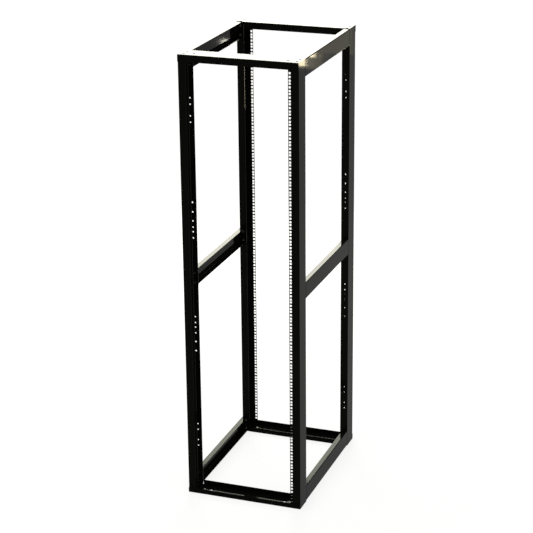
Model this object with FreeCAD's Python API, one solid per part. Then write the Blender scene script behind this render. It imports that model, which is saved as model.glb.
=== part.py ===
import FreeCAD, Part
import math
import os

# Four post open frame rack, in millimetres.
# +Z is up, +X is to the right and the front of the rack faces -Y.
# The origin is on the floor, in the middle of the base.

# Equipment hole pattern: rack units, three square holes to each unit.
rack_unit = 44.45
unit_hole_heights = (6.35, 22.225, 38.1)
square_hole = 9.5
hole_column_spacing = 465.1
clear_opening = 450.8

# Overall size. As many units are cut as the height leaves room for between the end margins.
rack_width = 546.1
rack_depth = 800.0
rack_height = 2071.0
margin_below_units = 31.05
least_margin_above_units = 35.0

# Posts: one folded sheet each, with a front flange, an outer web and an inner lip.
post_sheet = 2.0
post_depth = 88.9
post_lip = 36.0
accessory_hole = 6.4
brace_hole = 7.6
lip_hole_inset = 17.0
accessory_pitch = 28.575
accessory_pairs = (4.56, 5.7, 16.52, 18.34)
spare_brace_height = 7.47

# Cross channels: open downwards at the top and upwards at the base.
channel_sheet = 2.0
top_channel_lip = 31.75
base_channel_lip = 25.4
anchor_hole = 13.0
anchor_inset = 93.0

# Side beams: channels with their open side to the inside of the rack.
beam_sheet = 2.0
beam_height = 76.2
beam_flange = 25.4
beam_end_gap = 0.5

# Clips that are welded in the ends of the beams and bolted to the post lips.
clip_sheet = 3.0
clip_height = 64.0
clip_length = 30.0
clip_bolt_pitch = 44.45

# Corner plates that close the ends of the posts.
plate_thickness = 3.0
plate_reach = 78.0
plate_chamfer = 38.0
plate_screws = ((60.0, 42.0), (17.0, 31.5), (17.0, 73.5))

# Fits that all the sheet parts share.
fold_radius = 1.5
fit_gap = 0.3
bolt_hole = 6.6
cut_margin = 1.0

unit_room = rack_height - margin_below_units - least_margin_above_units
unit_count = math.floor(unit_room / rack_unit)
outer_x = rack_width / 2
flange_edge_x = clear_opening / 2
lip_edge_x = outer_x - post_lip
lip_hole_x = outer_x - lip_hole_inset
channel_front_y = -rack_depth / 2
post_front_y = channel_front_y + channel_sheet + fit_gap
post_rear_y = post_front_y + post_depth
channel_rear_y = post_rear_y + fit_gap + channel_sheet
post_bottom_z = channel_sheet + plate_thickness
post_top_z = rack_height - post_bottom_z
units_middle_z = margin_below_units + unit_count * rack_unit / 2
beam_centres = {
    "bottom": channel_sheet + fit_gap + beam_height / 2,
    "middle": units_middle_z,
    "top": rack_height - channel_sheet - fit_gap - beam_height / 2,
}


def vector(x, y, z):
    """Point or direction in the frame of the rack."""
    return FreeCAD.Vector(x, y, z)


def on_floor(u, v):
    """Place a section point in the horizontal plane."""
    return vector(u, v, 0)


def on_side(u, v):
    """Place a section point in the vertical plane across the rack's width."""
    return vector(0, u, v)


def on_front(u, v):
    """Place a section point in the vertical plane across the rack's depth."""
    return vector(u, 0, v)


def rounded_wire(corners, radii):
    """Closed wire through the corners, each one rounded by its own radius."""
    arcs = []
    for index, corner in enumerate(corners):
        to_last = (corners[index - 1] - corner).normalize()
        to_next = (corners[(index + 1) % len(corners)] - corner).normalize()
        half_angle = to_last.getAngle(to_next) / 2
        reach = radii[index] / math.tan(half_angle)
        inward = (to_last + to_next).normalize()
        middle = corner + inward * (radii[index] / math.sin(half_angle) - radii[index])
        arcs.append((corner + to_last * reach, middle, corner + to_next * reach))
    edges = []
    for index, (entry, middle, leave) in enumerate(arcs):
        if radii[index] > 0:
            edges.append(Part.Arc(entry, middle, leave).toShape())
        next_entry = arcs[(index + 1) % len(arcs)][0]
        edges.append(Part.makeLine(leave, next_entry))
    return Part.Wire(edges)


def folded_sheet(outside, sheet, place, run):
    """Folded sheet of one thickness along a run.

    outside lists the section's outer surface, with the sheet on its left and every fold to the left.
    """
    flats = [vector(u, v, 0) for u, v in outside]
    normals = []
    for start, end in zip(flats, flats[1:]):
        along = (end - start).normalize()
        normals.append(vector(-along.y, along.x, 0))
    inside = [flats[0] + normals[0] * sheet]
    for index in range(1, len(flats) - 1):
        both = normals[index - 1] + normals[index]
        share = sheet / (1 + normals[index - 1].dot(normals[index]))
        inside.append(flats[index] + both * share)
    inside.append(flats[-1] + normals[-1] * sheet)
    folds = flats[1:-1]
    radii = [0] + [fold_radius + sheet for fold in folds] + [0]
    radii += [0] + [fold_radius for fold in folds] + [0]
    corners = [place(point.x, point.y) for point in flats + inside[::-1]]
    return Part.Face(rounded_wire(corners, radii)).extrude(run)


def drill(x, y, z, diameter, direction, depth):
    """Round cutter that starts a margin before the point and runs a margin past the depth."""
    start = vector(x, y, z) - direction * cut_margin
    return Part.makeCylinder(diameter / 2, depth + 2 * cut_margin, start, direction)


def mirror_x(shape):
    """The same piece on the other side of the rack."""
    return shape.mirror(vector(0, 0, 0), vector(1, 0, 0))


def mirror_y(shape):
    """The same piece at the other end of the rack's depth."""
    return shape.mirror(vector(0, 0, 0), vector(0, 1, 0))


def unit_heights():
    """Heights of all the square holes' centres."""
    heights = []
    for unit in range(unit_count):
        for step in unit_hole_heights:
            heights.append(margin_below_units + unit * rack_unit + step)
    return heights


def clip_bolt_heights(centre):
    """Heights of the two bolts that hold a beam's clip."""
    return (centre - clip_bolt_pitch / 2, centre + clip_bolt_pitch / 2)


def brace_heights():
    """Heights of the holes for the beams' clips, and for a spare brace above and below the middle."""
    centres = list(beam_centres.values())
    for side in (-1, 1):
        centres.append(units_middle_z + side * spare_brace_height * rack_unit)
    heights = []
    for centre in centres:
        heights += clip_bolt_heights(centre)
    return heights


def accessory_heights():
    """Heights of the pairs of accessory holes, alike above and below the middle."""
    heights = []
    for side in (-1, 1):
        for units in accessory_pairs:
            centre = units_middle_z + side * units * rack_unit
            heights += (centre - accessory_pitch / 2, centre + accessory_pitch / 2)
    return heights


def make_post():
    """Front right post: flange with square holes, outer web and lip with round holes."""
    section = (
        (flange_edge_x, post_front_y),
        (outer_x, post_front_y),
        (outer_x, post_rear_y),
        (lip_edge_x, post_rear_y),
    )
    post = folded_sheet(section, post_sheet, on_floor, vector(0, 0, post_top_z - post_bottom_z))
    post.translate(vector(0, 0, post_bottom_z))
    cutters = []
    hole_left = hole_column_spacing / 2 - square_hole / 2
    for height in unit_heights():
        corner = vector(hole_left, post_front_y - cut_margin, height - square_hole / 2)
        cutters.append(Part.makeBox(square_hole, post_sheet + 2 * cut_margin, square_hole, corner))
    lip_front_y = post_rear_y - post_sheet
    for diameter, heights in ((brace_hole, brace_heights()), (accessory_hole, accessory_heights())):
        for height in heights:
            cutters.append(drill(lip_hole_x, lip_front_y, height, diameter, vector(0, 1, 0), post_sheet))
    return post.cut(Part.makeCompound(cutters))


def corner_screw_drills(bottom_z, depth):
    """Cutters for the screws of both corners of a cross channel or of its corner plates."""
    drills = []
    for inset, back in plate_screws:
        for side in (-1, 1):
            x = side * (outer_x - inset)
            drills.append(drill(x, post_front_y + back, bottom_z, bolt_hole, vector(0, 0, 1), depth))
    return drills


def notch_inner_lip(channel):
    """Cut back the inner lip at both ends, where the beams meet the posts."""
    lip_end_x = lip_edge_x - fit_gap - channel_sheet
    notch_depth = channel_sheet + fold_radius
    start_y = channel_rear_y - notch_depth
    size_x = outer_x - lip_end_x + cut_margin
    size_y = notch_depth + cut_margin
    size_z = rack_height + 2 * cut_margin
    right = Part.makeBox(size_x, size_y, size_z, vector(lip_end_x, start_y, -cut_margin))
    return channel.cut(Part.makeCompound([right, mirror_x(right)]))


def make_top_channel():
    """Front top channel: a cap over the two front posts, with its lips down."""
    lip_end_z = rack_height - top_channel_lip
    section = (
        (channel_rear_y, lip_end_z),
        (channel_rear_y, rack_height),
        (channel_front_y, rack_height),
        (channel_front_y, lip_end_z),
    )
    channel = folded_sheet(section, channel_sheet, on_side, vector(rack_width, 0, 0))
    channel.translate(vector(-outer_x, 0, 0))
    drills = corner_screw_drills(rack_height - channel_sheet, channel_sheet)
    return notch_inner_lip(channel).cut(Part.makeCompound(drills))


def make_base_channel():
    """Front base channel: the two front posts stand in it, and it lies on the floor."""
    section = (
        (channel_front_y, base_channel_lip),
        (channel_front_y, 0),
        (channel_rear_y, 0),
        (channel_rear_y, base_channel_lip),
    )
    channel = folded_sheet(section, channel_sheet, on_side, vector(rack_width, 0, 0))
    channel.translate(vector(-outer_x, 0, 0))
    drills = corner_screw_drills(0, channel_sheet)
    middle_y = (channel_front_y + channel_rear_y) / 2
    for side in (-1, 1):
        x = side * (outer_x - anchor_inset)
        drills.append(drill(x, middle_y, 0, anchor_hole, vector(0, 0, 1), channel_sheet))
    return notch_inner_lip(channel).cut(Part.makeCompound(drills))


def make_corner_plate(bottom_z):
    """Front right corner plate, which lies between the channel's folds and closes the post's end."""
    inner_x = outer_x - plate_reach
    front_y = channel_front_y + channel_sheet + fold_radius
    rear_y = channel_rear_y - channel_sheet - fold_radius
    outline = (
        vector(outer_x, front_y, bottom_z),
        vector(outer_x, rear_y, bottom_z),
        vector(inner_x + plate_chamfer, rear_y, bottom_z),
        vector(inner_x, rear_y - plate_chamfer, bottom_z),
        vector(inner_x, front_y, bottom_z),
    )
    plate = Part.Face(Part.makePolygon(outline + outline[:1])).extrude(vector(0, 0, plate_thickness))
    return plate.cut(Part.makeCompound(corner_screw_drills(bottom_z, plate_thickness)))


def make_beam(centre):
    """Right side beam: its web is flush with the posts and its flanges point inwards."""
    flange_x = outer_x - beam_flange
    low_z = centre - beam_height / 2
    high_z = centre + beam_height / 2
    section = (
        (flange_x, low_z),
        (outer_x, low_z),
        (outer_x, high_z),
        (flange_x, high_z),
    )
    start_y = post_rear_y + beam_end_gap
    beam = folded_sheet(section, beam_sheet, on_front, vector(0, -2 * start_y, 0))
    beam.translate(vector(0, start_y, 0))
    return beam


def make_clip(centre):
    """Front clip of a right side beam: one leg on the post's lip and one on the beam's web."""
    web_x = outer_x - beam_sheet
    section = (
        (lip_edge_x, post_rear_y),
        (web_x, post_rear_y),
        (web_x, post_rear_y + clip_length),
    )
    clip = folded_sheet(section, clip_sheet, on_floor, vector(0, 0, clip_height))
    clip.translate(vector(0, 0, centre - clip_height / 2))
    drills = []
    for height in clip_bolt_heights(centre):
        drills.append(drill(lip_hole_x, post_rear_y, height, bolt_hole, vector(0, 1, 0), clip_sheet))
    return clip.cut(Part.makeCompound(drills))


def four_corners(name, front_right):
    """The four like pieces at the corners of the rack, by name."""
    rear_right = mirror_y(front_right)
    return {
        "front_right_" + name: front_right,
        "front_left_" + name: mirror_x(front_right),
        "rear_right_" + name: rear_right,
        "rear_left_" + name: mirror_x(rear_right),
    }


def build_rack():
    """Every piece of the rack, by name."""
    pieces = four_corners("post", make_post())
    for level, channel in (("top", make_top_channel()), ("base", make_base_channel())):
        pieces["front_" + level + "_channel"] = channel
        pieces["rear_" + level + "_channel"] = mirror_y(channel)
    pieces.update(four_corners("top_plate", make_corner_plate(post_top_z)))
    pieces.update(four_corners("base_plate", make_corner_plate(channel_sheet)))
    for level, centre in beam_centres.items():
        beam = make_beam(centre)
        pieces["right_" + level + "_beam"] = beam
        pieces["left_" + level + "_beam"] = mirror_x(beam)
        pieces.update(four_corners(level + "_clip", make_clip(centre)))
    return pieces


os.makedirs("parts", exist_ok=True)
for node, piece in build_rack().items():
    piece.exportStep("parts/" + node + ".step")
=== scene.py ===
"""Dresses a four post open frame rack: paint, screws, bolts, welds, studio and camera."""

import logging
import math
from dataclasses import dataclass, field
from enum import Enum

import bmesh
import bpy
from mathutils import Matrix, Vector


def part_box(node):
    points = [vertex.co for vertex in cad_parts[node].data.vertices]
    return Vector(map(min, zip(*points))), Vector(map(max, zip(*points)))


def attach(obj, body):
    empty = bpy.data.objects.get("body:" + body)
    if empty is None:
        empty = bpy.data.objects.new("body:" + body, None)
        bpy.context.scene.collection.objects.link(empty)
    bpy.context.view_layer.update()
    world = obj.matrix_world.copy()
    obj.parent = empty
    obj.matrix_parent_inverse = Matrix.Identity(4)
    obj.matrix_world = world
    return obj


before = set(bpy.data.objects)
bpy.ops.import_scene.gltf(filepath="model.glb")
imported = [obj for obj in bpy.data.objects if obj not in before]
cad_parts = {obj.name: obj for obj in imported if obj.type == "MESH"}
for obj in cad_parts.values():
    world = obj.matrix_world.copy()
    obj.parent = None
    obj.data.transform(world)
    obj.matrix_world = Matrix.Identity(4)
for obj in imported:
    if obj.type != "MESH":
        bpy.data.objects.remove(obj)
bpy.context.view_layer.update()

MM = 0.001
BODY = "root"
ROUND_STEPS = 24
SHARP_ANGLE = math.radians(35)
NOISE_LOW = 0.3
NOISE_HIGH = 0.7

log = logging.getLogger("rack")


class Slot(Enum):
    """Material slots that the record gives to the pieces of the rack."""

    POST = "post_finish"
    CHANNEL = "channel_finish"
    BEAM = "beam_finish"
    PLATE = "plate_finish"
    CLIP = "clip_finish"


class Level(Enum):
    """Heights of the corner plates and of the side beams."""

    BASE = "base"
    BOTTOM = "bottom"
    MIDDLE = "middle"
    TOP = "top"


class Outline(Enum):
    """Shapes that a ring of a turned or pressed part can have."""

    ROUND = "round"
    HEXAGON = "hexagon"
    CROSS = "cross"


@dataclass(frozen=True)
class Corner:
    """One of the four upright corners of the rack.

    Attributes:
        side: 1 on the right and -1 on the left.
        end: 1 at the rear and -1 at the front.
    """

    side: int
    end: int

    @property
    def end_name(self) -> str:
        """Word for the end of the rack that the corner is at."""
        return "front" if self.end < 0 else "rear"

    @property
    def name(self) -> str:
        """Words that the names of the corner's nodes start with."""
        return self.end_name + ("_right" if self.side > 0 else "_left")

    def point(self, inset: float, back: float, height: float) -> Vector:
        """Gives a point measured from the outer corner of the post.

        Args:
            inset: Distance from the post's outer side face, towards the middle.
            back: Distance from the post's outer end face, towards the middle.
            height: Height over the floor.

        Returns:
            The point in the frame of the rack.
        """
        low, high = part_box(self.name + "_post")
        outer_x = max(abs(low.x), abs(high.x))
        outer_y = max(abs(low.y), abs(high.y))
        return Vector((self.side * (outer_x - inset), self.end * (outer_y - back), height))


CORNERS = tuple(Corner(side, end) for end in (-1, 1) for side in (1, -1))


def clips() -> list[tuple[Corner, str]]:
    """Lists the clips at the beams' ends.

    Returns:
        The corner and the node's name of each clip.
    """
    levels = (Level.BOTTOM, Level.MIDDLE, Level.TOP)
    return [(corner, f"{corner.name}_{level.value}_clip") for corner in CORNERS for level in levels]


def linear(colour: str) -> tuple[float, float, float, float]:
    """Turns an sRGB hex colour into linear light.

    Args:
        colour: Six hex digits after a hash sign.

    Returns:
        Red, green, blue and an alpha of one.
    """
    shares = [int(colour[start : start + 2], 16) / 255 for start in (1, 3, 5)]
    light = [share / 12.92 if share <= 0.04045 else ((share + 0.055) / 1.055) ** 2.4 for share in shares]
    return (light[0], light[1], light[2], 1.0)


def socket(sockets: bpy.types.bpy_prop_collection, name: str) -> bpy.types.NodeSocket:
    """Finds a node's input or output by its identifier or its name.

    Args:
        sockets: Inputs or outputs of a node.
        name: Identifier or name, the identifier where several share a name.

    Returns:
        The first socket that has it.
    """
    return next(one for one in sockets if name in (one.identifier, one.name))


def add_node(
    tree: bpy.types.NodeTree,
    kind: str,
    settings: dict[str, object] | None = None,
    values: dict[str, object] | None = None,
    links: dict[str, bpy.types.NodeSocket] | None = None,
) -> bpy.types.Node:
    """Adds a node with its settings, fixed inputs and links.

    Args:
        tree: Node tree that gets the node.
        kind: Blender's name of the node's class.
        settings: Properties of the node itself.
        values: Fixed values of inputs, by input name.
        links: Outputs of other nodes to join, by input name.

    Returns:
        The new node.
    """
    node = tree.nodes.new(kind)
    for name, value in (settings or {}).items():
        setattr(node, name, value)
    for name, value in (values or {}).items():
        socket(node.inputs, name).default_value = value
    for name, output in (links or {}).items():
        tree.links.new(output, socket(node.inputs, name))
    return node


def empty_material(name: str) -> bpy.types.Material:
    """Makes a material that has no nodes yet.

    Args:
        name: Name of the material.

    Returns:
        The material.
    """
    material = bpy.data.materials.new(name)
    material.use_nodes = True
    material.node_tree.nodes.clear()
    return material


@dataclass(frozen=True)
class Texture:
    """Bumps of one size on a finish.

    Attributes:
        width: Width of a bump.
        height: Height of a bump.
        detail: Number of finer layers of bumps.
    """

    width: float
    height: float
    detail: float


@dataclass(frozen=True)
class SteelFinish:
    """Thin finish on steel, a little uneven in colour and gloss.

    Attributes:
        name: Name of the material.
        colour: Colour where the finish is thick.
        thin_colour: Colour where it is thin.
        roughness: Middle roughness.
        roughness_spread: Most that the roughness differs from the middle.
        patch_width: Width of a thick or thin patch.
        patch_detail: Number of finer layers of patches.
        textures: Bumps, the coarsest first.
    """

    name: str
    colour: str
    thin_colour: str
    roughness: float
    roughness_spread: float
    patch_width: float
    textures: tuple[Texture, ...]
    patch_detail: float = 3

    def shader_values(self) -> dict[str, object]:
        """Gives the constants of the shader's own sockets."""
        raise NotImplementedError

    def build(self) -> bpy.types.Material:
        """Makes the finish's node material.

        Returns:
            The material.
        """
        material = empty_material(self.name)
        tree = material.node_tree
        place = add_node(tree, "ShaderNodeTexCoord").outputs["Object"]
        patches = add_node(
            tree,
            "ShaderNodeTexNoise",
            values={"Scale": 1 / self.patch_width, "Detail": self.patch_detail},
            links={"Vector": place},
        )
        thinness = socket(patches.outputs, "Fac")
        tone = add_node(
            tree,
            "ShaderNodeMix",
            settings={"data_type": "RGBA"},
            values={"A_Color": linear(self.colour), "B_Color": linear(self.thin_colour)},
            links={"Factor_Float": thinness},
        )
        gloss = add_node(
            tree,
            "ShaderNodeMapRange",
            values={
                "From Min": NOISE_LOW,
                "From Max": NOISE_HIGH,
                "To Min": self.roughness - self.roughness_spread,
                "To Max": self.roughness + self.roughness_spread,
            },
            links={"Value": thinness},
        )
        shader = add_node(
            tree,
            "ShaderNodeBsdfPrincipled",
            values=self.shader_values(),
            links={
                "Base Color": socket(tone.outputs, "Result_Color"),
                "Roughness": socket(gloss.outputs, "Result"),
                "Normal": self.add_textures(tree, place),
            },
        )
        add_node(tree, "ShaderNodeOutputMaterial", links={"Surface": shader.outputs["BSDF"]})
        return material

    def add_textures(self, tree: bpy.types.NodeTree, place: bpy.types.NodeSocket) -> bpy.types.NodeSocket:
        """Adds the bumps, each on the one before.

        Args:
            tree: Node tree of the material.
            place: Coordinates in metres.

        Returns:
            The normal that carries all the bumps.
        """
        below = {}
        for texture in self.textures:
            spots = add_node(
                tree,
                "ShaderNodeTexNoise",
                values={"Scale": 1 / texture.width, "Detail": texture.detail},
                links={"Vector": place},
            )
            bumps = add_node(
                tree,
                "ShaderNodeBump",
                values={"Distance": texture.height},
                links={"Height": socket(spots.outputs, "Fac"), **below},
            )
            below = {"Normal": bumps.outputs["Normal"]}
        return below["Normal"]


@dataclass(frozen=True)
class PowderCoat(SteelFinish):
    """Black polyester powder, sprayed on folded steel sheet and baked.

    The powder melts to a glossy skin with a faint orange peel, so a face is nearly black from
    straight on and mirrors what is bright at a grazing angle. The IOR is matched in a studio that
    is white all round: the 1.5 of plain polyester would mirror so much of it that the rack looks grey.
    """

    colour: str = "#131312"
    thin_colour: str = "#1a1a18"
    roughness: float = 0.05
    roughness_spread: float = 0.015
    patch_width: float = 160 * MM
    textures: tuple[Texture, ...] = (
        Texture(width=3 * MM, height=0.004 * MM, detail=1),  # orange peel
        Texture(width=0.6 * MM, height=0.0008 * MM, detail=2),  # grains that melted last
    )
    ior: float = 1.065

    def shader_values(self) -> dict[str, object]:
        """Gives the constants of the shader's own sockets."""
        return {"IOR": self.ior}


@dataclass(frozen=True)
class BlackZinc(SteelFinish):
    """Steel screws and nuts, cold formed, zinc plated and passivated black.

    The plating is thin metal under a dark film, so the parts are charcoal with small soft glints
    and go browner where the film is thin.
    """

    name: str = "black_zinc_plated_steel"
    colour: str = "#2b2b2d"
    thin_colour: str = "#45413b"
    roughness: float = 0.24
    roughness_spread: float = 0.06
    patch_width: float = 2.5 * MM
    textures: tuple[Texture, ...] = (Texture(width=0.25 * MM, height=0.004 * MM, detail=2),)  # forming marks

    def shader_values(self) -> dict[str, object]:
        """Gives the constants of the shader's own sockets."""
        return {"Metallic": 1.0}


@dataclass(frozen=True)
class Ring:
    """One ring of points round a fastener's axis.

    Attributes:
        outline: Shape of the ring.
        width: Diameter, width across the flats, or length of the cross.
        height: Place on the axis, from the face that the fastener seats on.
        arm_angle: Half the angle that an arm of the cross takes up at its end.
    """

    outline: Outline
    width: float
    height: float
    arm_angle: float = math.radians(15)

    def reach(self, angle: float) -> float:
        """Gives the distance of the outline from the axis.

        Args:
            angle: Direction round the axis, in radians.

        Returns:
            The distance in metres.
        """
        half = self.width / 2
        if self.outline is Outline.ROUND:
            return half
        if self.outline is Outline.HEXAGON:
            return half / math.cos(angle % math.radians(60) - math.radians(30))
        arm_half = half * math.tan(self.arm_angle)
        tiny = 1e-9
        across, along = max(abs(math.cos(angle)), tiny), max(abs(math.sin(angle)), tiny)
        lying = min(half / across, arm_half / along)
        standing = min(arm_half / across, half / along)
        return max(lying, standing)

    def points(self, place: Matrix) -> list[Vector]:
        """Gives the ring's points where the fastener is.

        Args:
            place: Turns and moves the fastener from the origin to its seat.

        Returns:
            The points, in order round the axis.
        """
        found = []
        for step in range(ROUND_STEPS):
            angle = math.tau * step / ROUND_STEPS
            reach = self.reach(angle)
            found.append(place @ Vector((reach * math.cos(angle), reach * math.sin(angle), self.height)))
        return found


def skin(shape: bmesh.types.BMesh, loops: list[list[Vector]], hollow: bool = False) -> None:
    """Adds a closed surface through loops of as many points each.

    Args:
        shape: Mesh that gets the surface.
        loops: Loops of points, in order along the part.
        hollow: Joins the last loop to the first, instead of closing both with a face.
    """
    rows = [[shape.verts.new(point) for point in loop] for loop in loops]
    pairs = list(zip(rows, rows[1:]))
    if hollow:
        pairs.append((rows[-1], rows[0]))
    else:
        shape.faces.new(rows[0][::-1])
        shape.faces.new(rows[-1])
    for low, high in pairs:
        for index, vertex in enumerate(low):
            after = (index + 1) % len(low)
            shape.faces.new((vertex, low[after], high[after], high[index]))


def seat(point: Vector, axis: Vector, turn: float) -> Matrix:
    """Gives the place of a fastener.

    Args:
        point: Where the axis meets the face that the fastener seats on.
        axis: Direction out of that face.
        turn: Angle of the fastener round its axis, in radians.

    Returns:
        The matrix that takes the fastener from the origin to there.
    """
    aim = axis.to_track_quat("Z", "Y").to_matrix().to_4x4()
    return Matrix.Translation(point) @ aim @ Matrix.Rotation(turn, 4, "Z")


@dataclass(frozen=True)
class ToolTurns:
    """Angles at which a tool leaves the fasteners of a corner, in degrees.

    Attributes:
        per_number: Step from one fastener of the corner to the next.
        per_side: Step between the sides of the rack.
        per_end: Step between its ends.
    """

    per_number: float
    per_side: float
    per_end: float

    def turn(self, number: int, corner: Corner) -> float:
        """Gives the angle of one fastener.

        Args:
            number: Number of the fastener at its corner.
            corner: Corner of the rack.

        Returns:
            The angle round its axis, in radians.
        """
        place = self.per_side * corner.side + self.per_end * corner.end
        return math.radians(self.per_number * number + place)


@dataclass(frozen=True)
class Screw:
    """Fastener with a head, and a thread below the face that the head seats on.

    Attributes:
        diameter: Outer diameter of the thread.
        pitch: Distance between two ridges.
        thread_depth: Part of the pitch by which the root is narrower than the ridges.
        ridge_place: Part of the pitch at which a ridge lies.
        end_share: Width of the chamfered end, as a part of the root's.
    """

    diameter: float = 6 * MM
    pitch: float = 1 * MM
    thread_depth: float = 1.1
    ridge_place: float = 0.6
    end_share: float = 0.92

    def head(self) -> list[Ring]:
        """Gives the rings of the head, from its seat upwards."""
        raise NotImplementedError

    def thread(self, low: float, high: float) -> list[Ring]:
        """Gives the ridges of the thread.

        Args:
            low: Height of the thread's end.
            high: Height at which the thread runs out.

        Returns:
            Rings from the chamfered end upwards, ridges and roots in turn.
        """
        root = self.diameter - self.thread_depth * self.pitch
        rings = [Ring(Outline.ROUND, root * self.end_share, low)]
        for turn in range(int((high - low) / self.pitch)):
            rings.append(Ring(Outline.ROUND, self.diameter, low + (turn + self.ridge_place) * self.pitch))
            rings.append(Ring(Outline.ROUND, root, low + (turn + 1) * self.pitch))
        return rings

    def add_to(self, shape: bmesh.types.BMesh, place: Matrix, length: float) -> None:
        """Adds the fastener to a mesh.

        Args:
            shape: Mesh that gets the fastener.
            place: Place of the face under the head.
            length: Length from under the head to the end.
        """
        rings = self.thread(-length, -self.pitch / 2)
        rings.append(Ring(Outline.ROUND, self.diameter, 0))
        skin(shape, [ring.points(place) for ring in rings + self.head()])


@dataclass(frozen=True)
class WaferScrew(Screw):
    """Machine screw with a low, wide and flat head and a cross recess.

    Attributes:
        head_width: Diameter of the head.
        head_height: Height of the head.
        under_chamfer: Height of the small chamfer under the head.
        under_inset: How much narrower the chamfer makes the head at its seat.
        crown: Shares of the head's width and height that its rounded edge goes through.
        recess_width: Length of the cross.
        recess_depth: Depth of the cross.
        recess_lip: Depth at which the cross starts to close.
        recess_taper: Shares of the cross's length at that depth and at its bottom.
    """

    head_width: float = 13 * MM
    head_height: float = 1.7 * MM
    under_chamfer: float = 0.2 * MM
    under_inset: float = 0.5 * MM
    crown: tuple[tuple[float, float], ...] = ((1.0, 0.45), (0.97, 0.75), (0.92, 0.95), (0.86, 1.0))
    recess_width: float = 4.2 * MM
    recess_depth: float = 1.5 * MM
    recess_lip: float = 0.3 * MM
    recess_taper: tuple[float, float] = (0.92, 0.5)

    def head(self) -> list[Ring]:
        """Gives the rings of the head, from its seat upwards.

        Returns:
            The rings, down into the recess at the end.
        """
        top = self.head_height
        lip_share, bottom_share = self.recess_taper
        return [
            Ring(Outline.ROUND, self.head_width - self.under_inset, 0),
            Ring(Outline.ROUND, self.head_width, self.under_chamfer),
            *(Ring(Outline.ROUND, self.head_width * wide, top * high) for wide, high in self.crown),
            Ring(Outline.CROSS, self.recess_width, top),
            Ring(Outline.CROSS, self.recess_width * lip_share, top - self.recess_lip),
            Ring(Outline.CROSS, self.recess_width * bottom_share, top - self.recess_depth),
        ]


@dataclass(frozen=True)
class HexagonHead:
    """Hexagon on a pressed flange, as bolts and nuts of this kind have.

    Attributes:
        flange_width: Diameter of the flange.
        across_flats: Width of the hexagon.
        height: Height over the seat.
        collar_share: Width of the round collar under the hexagon, over the width across the flats.
        collar_height: Height of the collar.
        hexagon_height: Height at which the hexagon's flats start.
        chamfer: Height of the chamfer at the hexagon's top.
        face_share: Width of the round face on top, over the width across the flats.
        flange_chamfer: How much narrower the flange is at its seat.
        flange_edge: Heights between which the flange has its full width.
    """

    flange_width: float
    across_flats: float
    height: float
    collar_share: float
    collar_height: float
    hexagon_height: float
    chamfer: float
    face_share: float
    flange_chamfer: float = 0.6 * MM
    flange_edge: tuple[float, float] = (0.5 * MM, 1 * MM)

    def rings(self) -> list[Ring]:
        """Gives the rings from the seat to the face on top.

        Returns:
            The rings, in order upwards.
        """
        return [
            Ring(Outline.ROUND, self.flange_width - self.flange_chamfer, 0),
            *(Ring(Outline.ROUND, self.flange_width, height) for height in self.flange_edge),
            Ring(Outline.ROUND, self.across_flats * self.collar_share, self.collar_height),
            Ring(Outline.HEXAGON, self.across_flats, self.hexagon_height),
            Ring(Outline.HEXAGON, self.across_flats, self.height - self.chamfer),
            Ring(Outline.ROUND, self.across_flats * self.face_share, self.height),
        ]


@dataclass(frozen=True)
class FlangeBolt(Screw):
    """Hexagon bolt with a pressed flange and a shallow dish in its face.

    Attributes:
        hexagon: Head of the bolt.
        dish_widths: Widths of the dish at its edge and its floor.
        dish_depth: Depth of the dish.
    """

    hexagon: HexagonHead = HexagonHead(
        flange_width=13.6 * MM,
        across_flats=8 * MM,
        height=6 * MM,
        collar_share=1.2,
        collar_height=1.7 * MM,
        hexagon_height=1.9 * MM,
        chamfer=0.7 * MM,
        face_share=0.94,
    )
    dish_widths: tuple[float, float] = (5.6 * MM, 4.8 * MM)
    dish_depth: float = 0.4 * MM

    def head(self) -> list[Ring]:
        """Gives the rings of the head, from its seat upwards.

        Returns:
            The rings, down into the dish at the end.
        """
        edge, floor = self.dish_widths
        dish = [
            Ring(Outline.ROUND, edge, self.hexagon.height),
            Ring(Outline.ROUND, floor, self.hexagon.height - self.dish_depth),
        ]
        return self.hexagon.rings() + dish


@dataclass(frozen=True)
class FlangeNut:
    """Hexagon nut with a pressed flange.

    Attributes:
        hexagon: Outside of the nut.
        bore: Diameter of the bore.
        bore_chamfer: Depth of the chamfer at the bore's outer end.
        chamfer_width: How much wider the chamfer is than the bore.
    """

    hexagon: HexagonHead = HexagonHead(
        flange_width=14.2 * MM,
        across_flats=10 * MM,
        height=6 * MM,
        collar_share=1.17,
        collar_height=1.8 * MM,
        hexagon_height=2 * MM,
        chamfer=0.8 * MM,
        face_share=0.93,
    )
    bore: float = 6.1 * MM
    bore_chamfer: float = 0.5 * MM
    chamfer_width: float = 0.8 * MM

    def add_to(self, shape: bmesh.types.BMesh, place: Matrix) -> None:
        """Adds the nut to a mesh.

        Args:
            shape: Mesh that gets the nut.
            place: Place of the face under the flange.
        """
        rings = [
            Ring(Outline.ROUND, self.bore, 0),
            *self.hexagon.rings(),
            Ring(Outline.ROUND, self.bore + self.chamfer_width, self.hexagon.height),
            Ring(Outline.ROUND, self.bore, self.hexagon.height - self.bore_chamfer),
        ]
        skin(shape, [ring.points(place) for ring in rings], hollow=True)


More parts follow.
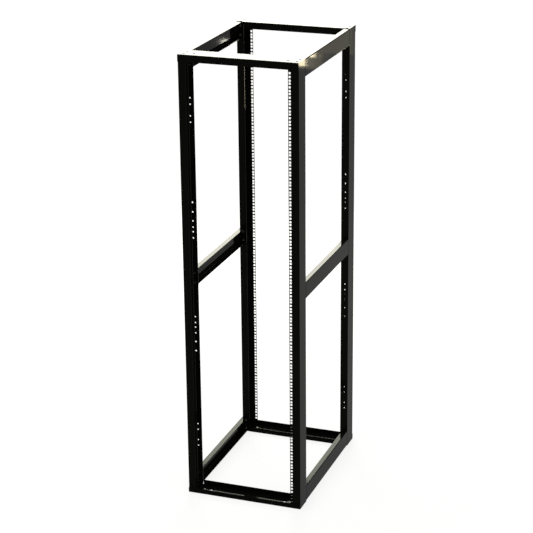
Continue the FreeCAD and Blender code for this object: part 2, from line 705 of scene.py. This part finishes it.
def make_piece(name: str, shape: bmesh.types.BMesh, material: bpy.types.Material) -> bpy.types.Object:
    """Turns a mesh under work into a piece of the rack.

    Args:
        name: Name of the piece.
        shape: The finished mesh, which is freed.
        material: Material of the whole piece.

    Returns:
        The piece, which rides with the rack.
    """
    bmesh.ops.recalc_face_normals(shape, faces=shape.faces)
    for face in shape.faces:
        face.smooth = True
    for edge in shape.edges:
        edge.smooth = edge.calc_face_angle(0) < SHARP_ANGLE
    mesh = bpy.data.meshes.new(name)
    shape.to_mesh(mesh)
    shape.free()
    mesh.materials.append(material)
    piece = bpy.data.objects.new(name, mesh)
    bpy.context.scene.collection.objects.link(piece)
    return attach(piece, BODY)


@dataclass
class SheetWork:
    """Folded sheet pieces that the frame brings, each dressed by its material slot.

    Attributes:
        finishes: Coat of each slot.
        materials: Material of each slot, once the pieces are dressed.
    """

    finishes: dict[Slot, PowderCoat] = field(
        default_factory=lambda: {
            Slot.POST: PowderCoat("black_powder_coat_on_posts"),
            Slot.CHANNEL: PowderCoat("black_powder_coat_on_cross_channels"),
            Slot.BEAM: PowderCoat("black_powder_coat_on_side_beams"),
            Slot.PLATE: PowderCoat("black_powder_coat_on_corner_plates"),
            Slot.CLIP: PowderCoat("black_powder_coat_on_clips"),
        }
    )
    materials: dict[Slot, bpy.types.Material] = field(default_factory=dict)

    def slot_of(self, node: str) -> Slot:
        """Gives the slot that a node's name calls for.

        Args:
            node: Name of the node.

        Returns:
            The slot of its kind of piece.
        """
        return next(slot for slot in Slot if node.endswith(slot.value.split("_")[0]))

    def dress(self) -> list[bpy.types.Object]:
        """Gives every node its coat.

        Returns:
            The nodes' objects.
        """
        self.materials = {slot: finish.build() for slot, finish in self.finishes.items()}
        for name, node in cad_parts.items():
            coat = self.materials[self.slot_of(name)]
            for index in range(len(node.data.materials)):
                node.data.materials[index] = coat
        return list(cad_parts.values())


@dataclass
class CornerScrews:
    """Screws that hold the cross channels and corner plates together, three at each corner.

    Attributes:
        screw: The screw.
        driver: Angles of the screws.
        places: Distances from the post's outer side face and outer end face.
        top_length: Length of a screw in the top channel.
        end_gap: Clearance between a base screw's end and the floor.
    """

    screw: WaferScrew = field(default_factory=WaferScrew)
    driver: ToolTurns = ToolTurns(per_number=37, per_side=23, per_end=11)
    places: tuple[tuple[float, float], ...] = (
        (60 * MM, 42 * MM),
        (17 * MM, 31.5 * MM),
        (17 * MM, 73.5 * MM),
    )
    top_length: float = 10 * MM
    end_gap: float = 0.3 * MM

    def build(self, material: bpy.types.Material) -> list[bpy.types.Object]:
        """Makes the screws of all the corners.

        Args:
            material: Material of the screws.

        Returns:
            The pieces, two for each corner.
        """
        pieces = []
        for corner in CORNERS:
            cap_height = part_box(corner.end_name + "_top_channel")[1].z
            plate_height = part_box(corner.name + "_base_plate")[1].z
            pieces.append(self.build_corner(corner, Level.TOP, cap_height, self.top_length, material))
            pieces.append(
                self.build_corner(corner, Level.BASE, plate_height, plate_height - self.end_gap, material)
            )
        return pieces

    def build_corner(
        self, corner: Corner, level: Level, height: float, length: float, material: bpy.types.Material
    ) -> bpy.types.Object:
        """Makes the three screws of one corner plate.

        Args:
            corner: Corner of the rack.
            level: Top or base.
            height: Height of the face that the heads seat on.
            length: Length of the screws.
            material: Material of the screws.

        Returns:
            The screws, joined.
        """
        shape = bmesh.new()
        for number, (inset, back) in enumerate(self.places):
            up = Vector((0, 0, 1))
            place = seat(corner.point(inset, back, height), up, self.driver.turn(number, corner))
            self.screw.add_to(shape, place, length)
        return make_piece(f"{corner.name}_{level.value}_plate_screws", shape, material)


@dataclass
class ClipBolts:
    """Bolts and nuts that hold the beams' clips to the post lips, two at each clip.

    Attributes:
        bolt: The bolt, with its head inside the post.
        nut: The nut, on the clip.
        wrench: Angles of the bolts.
        nut_turn: Angle of a nut against its bolt, in radians.
        inset: Distance of the bolts from the post's outer side face.
        pitch: Height between the two bolts of a clip.
        lip_sheet: Thickness of the post's lip.
        clip_sheet: Thickness of the clip.
        bolt_length: Length under the bolt's head.
    """

    bolt: FlangeBolt = field(default_factory=FlangeBolt)
    nut: FlangeNut = field(default_factory=FlangeNut)
    wrench: ToolTurns = ToolTurns(per_number=25, per_side=17, per_end=31)
    nut_turn: float = 0.4
    inset: float = 17 * MM
    pitch: float = 44.45 * MM
    lip_sheet: float = 2 * MM
    clip_sheet: float = 3 * MM
    bolt_length: float = 14 * MM

    def build(self, material: bpy.types.Material) -> list[bpy.types.Object]:
        """Makes the bolts and nuts of all the clips.

        Args:
            material: Material of the bolts and nuts.

        Returns:
            The pieces, one for each clip.
        """
        return [self.build_clip(corner, clip, material) for corner, clip in clips()]

    def build_clip(self, corner: Corner, clip: str, material: bpy.types.Material) -> bpy.types.Object:
        """Makes the two bolts and nuts of one clip.

        Args:
            corner: Corner of the rack.
            clip: Name of the clip's node.
            material: Material of the bolts and nuts.

        Returns:
            The bolts and nuts, joined.
        """
        low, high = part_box(clip)
        post_low, post_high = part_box(corner.name + "_post")
        depth = post_high.y - post_low.y
        middle = (low.z + high.z) / 2
        outwards = Vector((0, corner.end, 0))
        shape = bmesh.new()
        for number, side in enumerate((-1, 1)):
            centre = corner.point(self.inset, depth, middle + side * self.pitch / 2)
            turn = self.wrench.turn(number, corner)
            head = seat(centre + outwards * self.lip_sheet, outwards, turn)
            back = seat(centre - outwards * self.clip_sheet, -outwards, turn + self.nut_turn)
            self.bolt.add_to(shape, head, self.bolt_length)
            self.nut.add_to(shape, back)
        return make_piece(clip + "_bolts", shape, material)


@dataclass
class ClipWelds:
    """Fillet welds that join the clips' legs to the beams' webs, ground nowhere and painted over.

    Attributes:
        leg: Leg length of the fillet.
        flatness: Part of the leg by which the bead's middle is lower than a round one's.
        ripple: Distance between two ripples of the bead.
        ripple_height: Height of a ripple.
        ripple_steps: Sections of the bead in a ripple.
        arc_steps: Facets across the bead.
        end_share: Part of the length at each end over which the bead narrows no further.
        taper_power: How blunt the bead's ends are, from 0, square, to 1, pointed.
        end_gap: Length of the clip's edge that is left free at each end of the bead.
        beam_sheet: Thickness of the beam's web.
    """

    leg: float = 3 * MM
    flatness: float = 0.2
    ripple: float = 2.4 * MM
    ripple_height: float = 0.35 * MM
    ripple_steps: int = 4
    arc_steps: int = 6
    end_share: float = 0.03
    taper_power: float = 0.25
    end_gap: float = 6 * MM
    beam_sheet: float = 2 * MM

    def build(self, material: bpy.types.Material) -> list[bpy.types.Object]:
        """Makes the welds of all the clips.

        Args:
            material: Material of the painted welds.

        Returns:
            The pieces, one for each clip.
        """
        return [self.build_weld(corner, clip, material) for corner, clip in clips()]

    def build_weld(self, corner: Corner, clip: str, material: bpy.types.Material) -> bpy.types.Object:
        """Makes the weld at the end of one clip's leg.

        Args:
            corner: Corner of the rack.
            clip: Name of the clip's node.
            material: Material of the painted weld.

        Returns:
            The weld.
        """
        low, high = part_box(clip)
        root_y = min(abs(low.y), abs(high.y)) * corner.end
        root_x = corner.point(self.beam_sheet, 0, 0).x
        start, length = low.z + self.end_gap, high.z - low.z - 2 * self.end_gap
        steps = int(length / self.ripple) * self.ripple_steps
        loops = []
        for step in range(steps + 1):
            share = step / steps
            height = start + share * length
            loop = [Vector((root_x, root_y, height))]
            for across, along in self.section(share, length):
                loop.append(Vector((root_x - corner.side * across, root_y - corner.end * along, height)))
            loops.append(loop)
        shape = bmesh.new()
        skin(shape, loops)
        piece = make_piece(clip + "_weld", shape, material)
        return piece

    def section(self, share: float, length: float) -> list[tuple[float, float]]:
        """Gives the bead's face at one place.

        Args:
            share: Part of the bead's length below that place.
            length: Length of the bead.

        Returns:
            Distances of its points from the fillet's root, across the beam and along it.
        """
        taper = math.sin(math.pi * min(max(share, self.end_share), 1 - self.end_share)) ** self.taper_power
        wave = self.ripple_height * math.cos(math.tau * share * length / self.ripple)
        size = self.leg * taper + wave / 2
        points = []
        for part in range(self.arc_steps + 1):
            angle = math.radians(90) * part / self.arc_steps
            reach = size * (1 - self.flatness + self.flatness * abs(math.cos(2 * angle)))
            points.append((reach * math.sin(angle), reach * math.cos(angle)))
        return points


def seen_as_background(tree: bpy.types.NodeTree) -> bpy.types.NodeSocket:
    """Adds nodes that tell the rays which show a background from those that light the rack.

    Args:
        tree: Node tree of the floor or the world.

    Returns:
        An output that is 1 for rays to the eye, straight, mirrored or through glass, and else 0.
    """
    path = add_node(tree, "ShaderNodeLightPath")
    seen = path.outputs["Is Camera Ray"]
    for kind in ("Is Glossy Ray", "Is Transmission Ray"):
        either = add_node(
            tree,
            "ShaderNodeMath",
            settings={"operation": "MAXIMUM"},
            links={"Value": seen, "Value_001": path.outputs[kind]},
        )
        seen = either.outputs["Value"]
    return seen


@dataclass(frozen=True)
class StudioFloor:
    """Matt pale vinyl sheet, rolled out smooth.

    It looks white where nothing shades it and keeps the soft shadow of the rack. The lift is the
    light that it gives off to the eye, and it grows with the distance from the lamps.

    Attributes:
        name: Name of the material.
        colour: Colour of the sheet.
        roughness: How evenly the sheet scatters light.
        width: Side of the square sheet.
        drop: Gap under the rack that keeps the two surfaces apart.
        near_lift: Lift close to the rack.
        far_lift: Lift far from it.
        near_reach: Distance from the middle up to which the lift is the near one.
        far_reach: Distance from which it is the far one.
    """

    name: str = "matt_pale_vinyl_floor"
    colour: str = "#c8c8c6"
    roughness: float = 0.9
    width: float = 80.0
    drop: float = 0.1 * MM
    near_lift: float = 0.82
    far_lift: float = 0.89
    near_reach: float = 1.0
    far_reach: float = 5.0

    def material(self) -> bpy.types.Material:
        """Makes the sheet's node material.

        Returns:
            The material.
        """
        material = empty_material(self.name)
        tree = material.node_tree
        diffuse = add_node(
            tree,
            "ShaderNodeBsdfDiffuse",
            values={"Color": linear(self.colour), "Roughness": self.roughness},
        )
        place = add_node(tree, "ShaderNodeTexCoord").outputs["Object"]
        reach = add_node(
            tree,
            "ShaderNodeVectorMath",
            settings={"operation": "LENGTH"},
            links={"Vector": place},
        )
        lift = add_node(
            tree,
            "ShaderNodeMapRange",
            values={
                "From Min": self.near_reach,
                "From Max": self.far_reach,
                "To Min": self.near_lift,
                "To Max": self.far_lift,
            },
            links={"Value": reach.outputs["Value"]},
        )
        shown = add_node(
            tree,
            "ShaderNodeMath",
            settings={"operation": "MULTIPLY"},
            links={"Value": seen_as_background(tree), "Value_001": socket(lift.outputs, "Result")},
        )
        glow = add_node(tree, "ShaderNodeEmission", links={"Strength": shown.outputs["Value"]})
        both = add_node(
            tree,
            "ShaderNodeAddShader",
            links={"Shader": diffuse.outputs["BSDF"], "Shader_001": glow.outputs["Emission"]},
        )
        add_node(tree, "ShaderNodeOutputMaterial", links={"Surface": both.outputs["Shader"]})
        return material

    def build(self) -> bpy.types.Object:
        """Makes the floor with its material.

        Returns:
            The floor.
        """
        shape = bmesh.new()
        bmesh.ops.create_grid(shape, x_segments=8, y_segments=8, size=self.width / 2)
        mesh = bpy.data.meshes.new("studio_floor")
        shape.to_mesh(mesh)
        shape.free()
        mesh.materials.append(self.material())
        floor = bpy.data.objects.new("studio_floor", mesh)
        floor.location.z = -self.drop
        bpy.context.scene.collection.objects.link(floor)
        return floor


@dataclass(frozen=True)
class Softbox:
    """Rectangular lamp that the camera doesn't see, but a glossy face does.

    Attributes:
        name: Name of the lamp.
        centre: Middle of the lamp's face.
        aim: Point that the face looks at.
        width: Width of the face.
        height: Height of the face.
        brightness: Brightness of the face, where 1 is white.
        colour: Colour of the light.
    """

    name: str
    centre: tuple[float, float, float]
    aim: tuple[float, float, float]
    width: float
    height: float
    brightness: float
    colour: str = "#ffffff"

    def build(self) -> bpy.types.Object:
        """Makes the lamp.

        Returns:
            The lamp, whose face has the same brightness whatever its size.
        """
        light = bpy.data.lights.new(self.name, "AREA")
        light.shape = "RECTANGLE"
        light.size, light.size_y = self.width, self.height
        light.energy = math.pi * self.width * self.height * self.brightness
        light.color = linear(self.colour)[:3]
        lamp = bpy.data.objects.new(self.name, light)
        lamp.location = self.centre
        towards = Vector(self.aim) - Vector(self.centre)
        lamp.rotation_euler = towards.to_track_quat("-Z", "Y").to_euler()
        lamp.visible_camera = False
        bpy.context.scene.collection.objects.link(lamp)
        return lamp


@dataclass(frozen=True)
class Studio:
    """White studio round the rack: floor, world and softboxes.

    Three softboxes behind the rack show in its upward faces. The spots and glows are small warm
    lamps further right, too weak to light anything, that the glossy webs mirror.

    Attributes:
        floor: The floor.
        softboxes: The lamps.
        fill: Strength of the world's light on the rack and the floor.
    """

    floor: StudioFloor = field(default_factory=StudioFloor)
    softboxes: tuple[Softbox, ...] = (
        Softbox("overhead_softbox", (-0.8, 0.4, 5.2), (0.0, 0.0, 0.8), 3.2, 3.2, 0.8),
        Softbox("rear_high_softbox", (-1.5, 4.0, 3.14), (-1.5, 0.0, 3.14), 2.4, 0.72, 14.0, "#fffdf0"),
        Softbox("rear_middle_softbox", (-1.5, 4.0, 2.59), (-1.5, 0.0, 2.59), 2.4, 0.38, 24.0, "#fffdec"),
        Softbox("rear_low_softbox", (-1.5, 4.0, 2.1), (-1.5, 0.0, 2.1), 2.4, 0.5, 18.0, "#fdffea"),
        Softbox("right_spot", (1.385, 3.0, 1.287), (0.27, -0.3, 1.287), 0.08, 0.035, 40.0, "#fff0c8"),
        Softbox("right_corner_spot", (1.432, 3.0, 1.25), (0.27, -0.4, 1.25), 0.06, 0.08, 35.0, "#fff0c8"),
        Softbox("right_front_glow", (1.4, 3.02, 1.29), (1.4, -0.3, 1.29), 0.2, 0.2, 1.45, "#fff0c8"),
        Softbox("right_rear_glow", (1.2, 3.02, 1.39), (1.2, -0.3, 1.39), 0.2, 0.18, 1.05, "#fff0c8"),
        Softbox("left_spot", (0.834, 3.0, 1.326), (-0.26, 0.2, 2.0), 0.05, 0.035, 50.0, "#fffbe8"),
        Softbox("left_glow", (0.79, 3.0, 1.05), (-0.24, 0.3, 1.8), 0.12, 0.28, 22.0, "#fff0c8"),
    )
    fill: float = 0.24

    def build(self) -> list[bpy.types.Object]:
        """Makes the floor, the world and the lamps.

        Returns:
            The floor and the lamps.
        """
        floor = self.floor.build()
        self.build_world()
        return [floor, *(softbox.build() for softbox in self.softboxes)]

    def build_world(self) -> None:
        """Makes a world that looks white and lights softly."""
        world = bpy.data.worlds.new("white_studio")
        world.use_nodes = True
        tree = world.node_tree
        tree.nodes.clear()
        strength = add_node(
            tree,
            "ShaderNodeMix",
            values={"A_Float": self.fill, "B_Float": 1.0},
            links={"Factor_Float": seen_as_background(tree)},
        )
        background = add_node(
            tree,
            "ShaderNodeBackground",
            values={"Color": linear("#ffffff")},
            links={"Strength": socket(strength.outputs, "Result_Float")},
        )
        add_node(tree, "ShaderNodeOutputWorld", links={"Surface": background.outputs["Background"]})
        bpy.context.scene.world = world


@dataclass(frozen=True)
class Viewpoint:
    """Camera in front of the rack, to the right and over its top.

    Attributes:
        place: Where the lens is.
        direction: Where the lens points.
        roll: Turn of the camera round its lens, in radians.
        lens: Focal length in millimetres.
        sensor: Sensor width in millimetres.
        clip: Nearest and farthest distance that shows.
    """

    place: tuple[float, float, float] = (2.6187, -7.1981, 3.7593)
    direction: tuple[float, float, float] = (-0.32438, 0.88344, -0.33811)
    roll: float = math.radians(-0.586)
    lens: float = 119.44
    sensor: float = 36.0
    clip: tuple[float, float] = (0.1, 200.0)

    def build(self) -> bpy.types.Object:
        """Makes the camera and gives it to the scene.

        Returns:
            The camera.
        """
        lens = bpy.data.cameras.new("camera")
        lens.lens, lens.sensor_width = self.lens, self.sensor
        lens.clip_start, lens.clip_end = self.clip
        camera = bpy.data.objects.new("camera", lens)
        camera.location = self.place
        aim = Vector(self.direction).to_track_quat("-Z", "Y").to_matrix()
        camera.rotation_euler = (aim @ Matrix.Rotation(self.roll, 3, "Z")).to_euler()
        bpy.context.scene.collection.objects.link(camera)
        bpy.context.scene.camera = camera
        return camera


def main() -> None:
    """Builds the dressed rack and its studio."""
    logging.basicConfig(level=logging.INFO, format="%(message)s")
    bpy.context.scene.view_settings.view_transform = "Standard"
    Viewpoint().build()
    sheet_work = SheetWork()
    pieces = sheet_work.dress()
    plating = BlackZinc().build()
    pieces += CornerScrews().build(plating)
    pieces += ClipBolts().build(plating)
    pieces += ClipWelds().build(sheet_work.materials[Slot.CLIP])
    for piece in pieces:
        log.info("piece of the rack: %s", piece.name)
    for thing in Studio().build():
        log.info("part of the studio: %s", thing.name)


if __name__ == "__main__":
    main()
